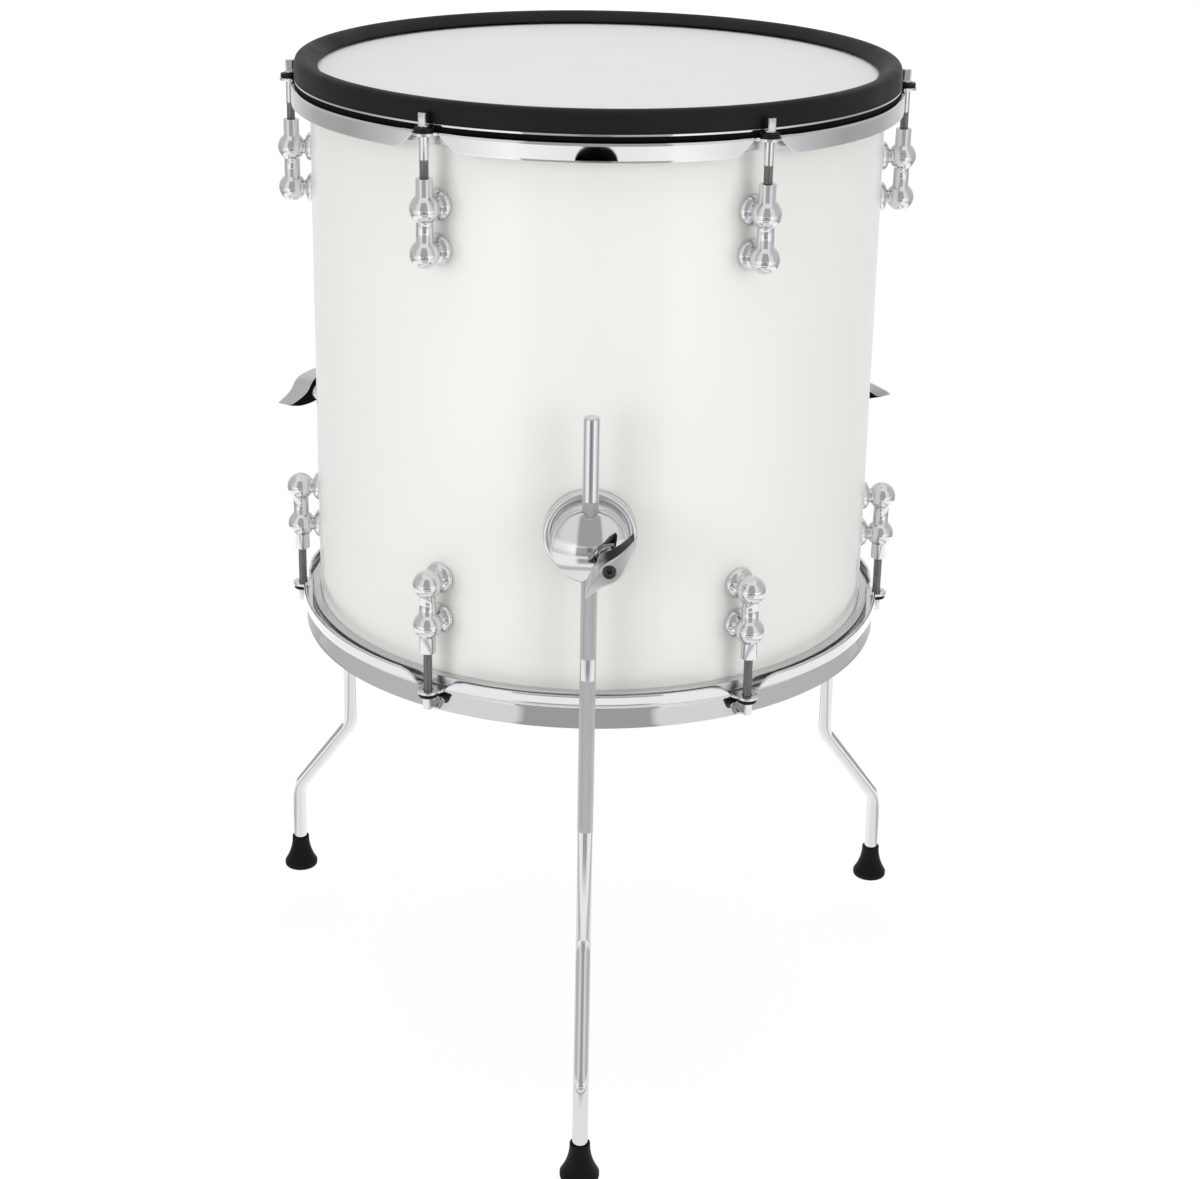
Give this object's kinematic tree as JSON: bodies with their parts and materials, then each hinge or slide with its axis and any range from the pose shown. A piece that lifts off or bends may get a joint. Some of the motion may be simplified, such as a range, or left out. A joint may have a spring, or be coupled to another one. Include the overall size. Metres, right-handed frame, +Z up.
{
  "type": "floor tom",
  "caption": "Cylindrical drum on bent rod legs with rubber feet, tube lugs, steel hoops drawn down by tension rods, a rubber playing rim and lever clamps that set the leg height.",
  "frame": {"origin": "on the floor, under the middle of the part's bounding box, with the drum's axis 35.5 mm behind it", "axes": "+Z up along the drum's axis, -Y towards the front leg, +X to the right of a viewer who faces the front leg"},
  "size_m": [0.4536, 0.449, 0.637],
  "materials": {
    "shell_lacquer": "off-white gloss lacquer on the outside, bare clear-coated ply inside",
    "head_film": "off-white coated drum head film with a metal flesh hoop",
    "hoop_chrome": "polished chrome plate on pressed steel",
    "rim_rubber": "satin black moulded rubber",
    "lug_chrome": "polished chrome plate",
    "rod_chrome": "chrome plate with a cut thread",
    "washer_black": "black nylon",
    "leg_chrome": "chrome plate, knurled where the clamp grips",
    "foot_rubber": "matte black moulded rubber",
    "bracket_chrome": "polished chrome plate on a die casting",
    "lever_chrome": "polished chrome plate on a die casting",
    "inner_steel": "plain zinc-plated strip",
    "sensor_foam": "dark foam cone on a plastic plate",
    "socket_metal": "nickel-plated socket"
  },
  "bodies": {
    "drum": {"shell": "shell_lacquer", "top_head": "head_film", "bottom_head": "head_film", "top_hoop": "hoop_chrome", "bottom_hoop": "hoop_chrome", "rim_rubber": "rim_rubber", "trigger_bar": "inner_steel", "trigger_sensor": "sensor_foam", "output_socket": "socket_metal", "top_lug_1": "lug_chrome", "top_lug_2": "lug_chrome", "top_lug_3": "lug_chrome", "top_lug_4": "lug_chrome", "top_lug_5": "lug_chrome", "top_lug_6": "lug_chrome", "top_washer_1": "washer_black", "top_washer_2": "washer_black", "top_washer_3": "washer_black", "top_washer_4": "washer_black", "top_washer_5": "washer_black", "top_washer_6": "washer_black", "bottom_lug_1": "lug_chrome", "bottom_lug_2": "lug_chrome", "bottom_lug_3": "lug_chrome", "bottom_lug_4": "lug_chrome", "bottom_lug_5": "lug_chrome", "bottom_lug_6": "lug_chrome", "bottom_washer_1": "washer_black", "bottom_washer_2": "washer_black", "bottom_washer_3": "washer_black", "bottom_washer_4": "washer_black", "bottom_washer_5": "washer_black", "bottom_washer_6": "washer_black", "front_bracket": "bracket_chrome", "right_bracket": "bracket_chrome", "left_bracket": "bracket_chrome"},
    "top_tension_rod_1": {"top_rod_1": "rod_chrome"},
    "top_tension_rod_2": {"top_rod_2": "rod_chrome"},
    "top_tension_rod_3": {"top_rod_3": "rod_chrome"},
    "top_tension_rod_4": {"top_rod_4": "rod_chrome"},
    "top_tension_rod_5": {"top_rod_5": "rod_chrome"},
    "top_tension_rod_6": {"top_rod_6": "rod_chrome"},
    "bottom_tension_rod_1": {"bottom_rod_1": "rod_chrome"},
    "bottom_tension_rod_2": {"bottom_rod_2": "rod_chrome"},
    "bottom_tension_rod_3": {"bottom_rod_3": "rod_chrome"},
    "bottom_tension_rod_4": {"bottom_rod_4": "rod_chrome"},
    "bottom_tension_rod_5": {"bottom_rod_5": "rod_chrome"},
    "bottom_tension_rod_6": {"bottom_rod_6": "rod_chrome"},
    "front_leg_rod": {"front_leg": "leg_chrome", "front_foot": "foot_rubber"},
    "front_cap": {"front_clamp_cap": "bracket_chrome"},
    "front_lever": {"front_clamp_lever": "lever_chrome"},
    "right_leg_rod": {"right_leg": "leg_chrome", "right_foot": "foot_rubber"},
    "right_cap": {"right_clamp_cap": "bracket_chrome"},
    "right_lever": {"right_clamp_lever": "lever_chrome"},
    "left_leg_rod": {"left_leg": "leg_chrome", "left_foot": "foot_rubber"},
    "left_cap": {"left_clamp_cap": "bracket_chrome"},
    "left_lever": {"left_clamp_lever": "lever_chrome"}
  },
  "joints": [
    {"name": "top_rod_turn_1", "type": "hinge", "parent": "drum", "child": "top_tension_rod_1", "pos_m": [-0.0955, 0.20091, 0.6278], "axis": [0, 0, 1], "continuous": true},
    {"name": "top_rod_turn_2", "type": "hinge", "parent": "drum", "child": "top_tension_rod_2", "pos_m": [-0.191, 0.0355, 0.6278], "axis": [0, 0, 1], "continuous": true},
    {"name": "top_rod_turn_3", "type": "hinge", "parent": "drum", "child": "top_tension_rod_3", "pos_m": [-0.0955, -0.12991, 0.6278], "axis": [0, 0, 1], "continuous": true},
    {"name": "top_rod_turn_4", "type": "hinge", "parent": "drum", "child": "top_tension_rod_4", "pos_m": [0.0955, -0.12991, 0.6278], "axis": [0, 0, 1], "continuous": true},
    {"name": "top_rod_turn_5", "type": "hinge", "parent": "drum", "child": "top_tension_rod_5", "pos_m": [0.191, 0.0355, 0.6278], "axis": [0, 0, 1], "continuous": true},
    {"name": "top_rod_turn_6", "type": "hinge", "parent": "drum", "child": "top_tension_rod_6", "pos_m": [0.0955, 0.20091, 0.6278], "axis": [0, 0, 1], "continuous": true},
    {"name": "bottom_rod_turn_1", "type": "hinge", "parent": "drum", "child": "bottom_tension_rod_1", "pos_m": [-0.0955, 0.20091, 0.2722], "axis": [0, 0, 1], "continuous": true},
    {"name": "bottom_rod_turn_2", "type": "hinge", "parent": "drum", "child": "bottom_tension_rod_2", "pos_m": [-0.191, 0.0355, 0.2722], "axis": [0, 0, 1], "continuous": true},
    {"name": "bottom_rod_turn_3", "type": "hinge", "parent": "drum", "child": "bottom_tension_rod_3", "pos_m": [-0.0955, -0.12991, 0.2722], "axis": [0, 0, 1], "continuous": true},
    {"name": "bottom_rod_turn_4", "type": "hinge", "parent": "drum", "child": "bottom_tension_rod_4", "pos_m": [0.0955, -0.12991, 0.2722], "axis": [0, 0, 1], "continuous": true},
    {"name": "bottom_rod_turn_5", "type": "hinge", "parent": "drum", "child": "bottom_tension_rod_5", "pos_m": [0.191, 0.0355, 0.2722], "axis": [0, 0, 1], "continuous": true},
    {"name": "bottom_rod_turn_6", "type": "hinge", "parent": "drum", "child": "bottom_tension_rod_6", "pos_m": [0.0955, 0.20091, 0.2722], "axis": [0, 0, 1], "continuous": true},
    {"name": "front_leg_slide", "type": "slide", "parent": "drum", "child": "front_leg_rod", "axis": [0, 0, 1], "range_m": [-0.04, 0.14]},
    {"name": "front_cap_slide", "type": "slide", "parent": "drum", "child": "front_cap", "axis": [0, -1, 0], "range_m": [0, 0.001]},
    {"name": "front_lever_turn", "type": "hinge", "parent": "front_cap", "child": "front_lever", "pos_m": [0.0112, -0.1765, 0.3855], "axis": [0, -1, 0], "range_deg": [0, 360]},
    {"name": "right_leg_slide", "type": "slide", "parent": "drum", "child": "right_leg_rod", "axis": [0, 0, 1], "range_m": [-0.04, 0.14]},
    {"name": "right_cap_slide", "type": "slide", "parent": "drum", "child": "right_cap", "axis": [0.866, 0.5, 0], "range_m": [0, 0.001]},
    {"name": "right_lever_turn", "type": "hinge", "parent": "right_cap", "child": "right_lever", "pos_m": [0.178, 0.1512, 0.3855], "axis": [0.866, 0.5, 0], "range_deg": [0, 360]},
    {"name": "left_leg_slide", "type": "slide", "parent": "drum", "child": "left_leg_rod", "axis": [0, 0, 1], "range_m": [-0.04, 0.14]},
    {"name": "left_cap_slide", "type": "slide", "parent": "drum", "child": "left_cap", "axis": [-0.866, 0.5, 0], "range_m": [0, 0.001]},
    {"name": "left_lever_turn", "type": "hinge", "parent": "left_cap", "child": "left_lever", "pos_m": [-0.1892, 0.1318, 0.3855], "axis": [-0.866, 0.5, 0], "range_deg": [0, 360]}
  ],
  "couplings": [
    {"joint": "front_lever_turn", "follows": "front_cap_slide", "rad_per_m": 6283.2},
    {"joint": "right_lever_turn", "follows": "right_cap_slide", "rad_per_m": 6283.2},
    {"joint": "left_lever_turn", "follows": "left_cap_slide", "rad_per_m": 6283.2}
  ]
}
